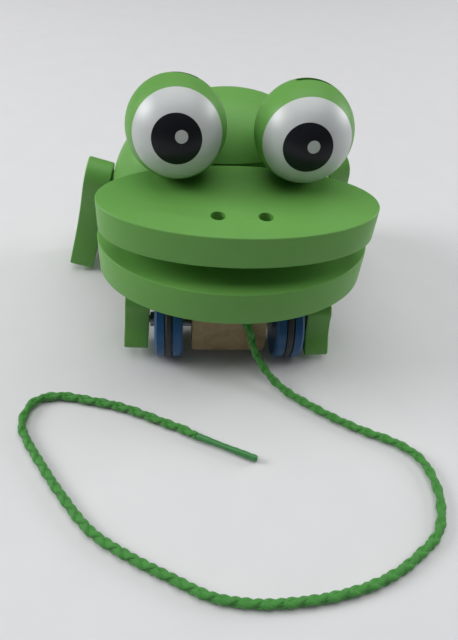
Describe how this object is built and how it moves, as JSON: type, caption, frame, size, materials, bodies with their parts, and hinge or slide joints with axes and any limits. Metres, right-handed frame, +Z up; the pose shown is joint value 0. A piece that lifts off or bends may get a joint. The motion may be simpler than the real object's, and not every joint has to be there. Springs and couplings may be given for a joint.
{
  "type": "pull-along toy frog",
  "caption": "Pull-along wooden frog on wheels: fixed head with wide board mouth and ball eyes, domed body that wags on a pivot, hopping front legs, braided pull cord.",
  "frame": {"origin": "centre of the toy's box on the floor, measured without the cord", "axes": "+Z up, the frog faces -Y, its left side is -X"},
  "size_m": [0.206, 0.275, 0.1441],
  "materials": {
    "green_paint": "satin enamel on wood",
    "bare_wood": "sanded, clear sealed",
    "blue_paint": "satin enamel on wood",
    "eye_white": "pearly gloss",
    "eye_black": "gloss",
    "eye_glint": "gloss",
    "felt": "matt",
    "cord": "braided polyester",
    "cord_tip": "heat-sealed",
    "steel": "zinc plated",
    "rubber": "matt"
  },
  "bodies": {
    "chassis": {"chassis_block": "bare_wood", "head_dowels": "bare_wood", "lower_jaw": "green_paint", "mouth_spacer": "green_paint", "upper_jaw": "green_paint", "eyeball_left": "green_paint", "eyeball_right": "green_paint", "eye_white_left": "eye_white", "eye_white_right": "eye_white", "eye_iris_left": "eye_black", "eye_iris_right": "eye_black", "eye_glint_left": "eye_glint", "eye_glint_right": "eye_glint", "eye_dowels": "bare_wood", "glide_ring": "felt", "pull_cord": "cord", "cord_tip": "cord_tip"},
    "wag_body": {"body_dome": "green_paint", "hind_leg_left": "green_paint", "hind_leg_right": "green_paint", "hip_dowels": "bare_wood", "hip_spacers": "green_paint", "swivel_pin": "steel", "swivel_cap": "steel"},
    "front_wheels": {"front_axle": "steel", "front_wheel_left": "blue_paint", "front_wheel_right": "blue_paint", "front_tyre_left": "rubber", "front_tyre_right": "rubber", "crank_pin_left": "steel", "crank_pin_right": "steel"},
    "rear_wheels": {"rear_axle": "steel", "rear_wheel_left": "blue_paint", "rear_wheel_right": "blue_paint", "rear_tyre_left": "rubber", "rear_tyre_right": "rubber"},
    "left_front_leg": {"front_leg_left": "green_paint"},
    "right_front_leg": {"front_leg_right": "green_paint"}
  },
  "joints": [
    {"name": "body_wag", "type": "hinge", "parent": "chassis", "child": "wag_body", "pos_m": [0.00404, 0.00447, 0.047], "axis": [0, 0, 1], "range_deg": [-16.5, 0.5]},
    {"name": "front_axle_spin", "type": "hinge", "parent": "chassis", "child": "front_wheels", "pos_m": [0.00274, -0.04853, 0.0192], "axis": [1, 0, 0], "continuous": true},
    {"name": "rear_axle_spin", "type": "hinge", "parent": "chassis", "child": "rear_wheels", "pos_m": [0.00274, 0.04047, 0.0192], "axis": [1, 0, 0], "continuous": true},
    {"name": "left_leg_pivot", "type": "hinge", "parent": "front_wheels", "child": "left_front_leg", "pos_m": [-0.04751, -0.04758, 0.02085], "axis": [1, 0, 0], "continuous": true},
    {"name": "right_leg_pivot", "type": "hinge", "parent": "front_wheels", "child": "right_front_leg", "pos_m": [0.05299, -0.04948, 0.01755], "axis": [1, 0, 0], "continuous": true}
  ],
  "couplings": [
    {"joint": "left_leg_pivot", "follows": "front_axle_spin", "ratio": -1},
    {"joint": "right_leg_pivot", "follows": "front_axle_spin", "ratio": -1}
  ]
}
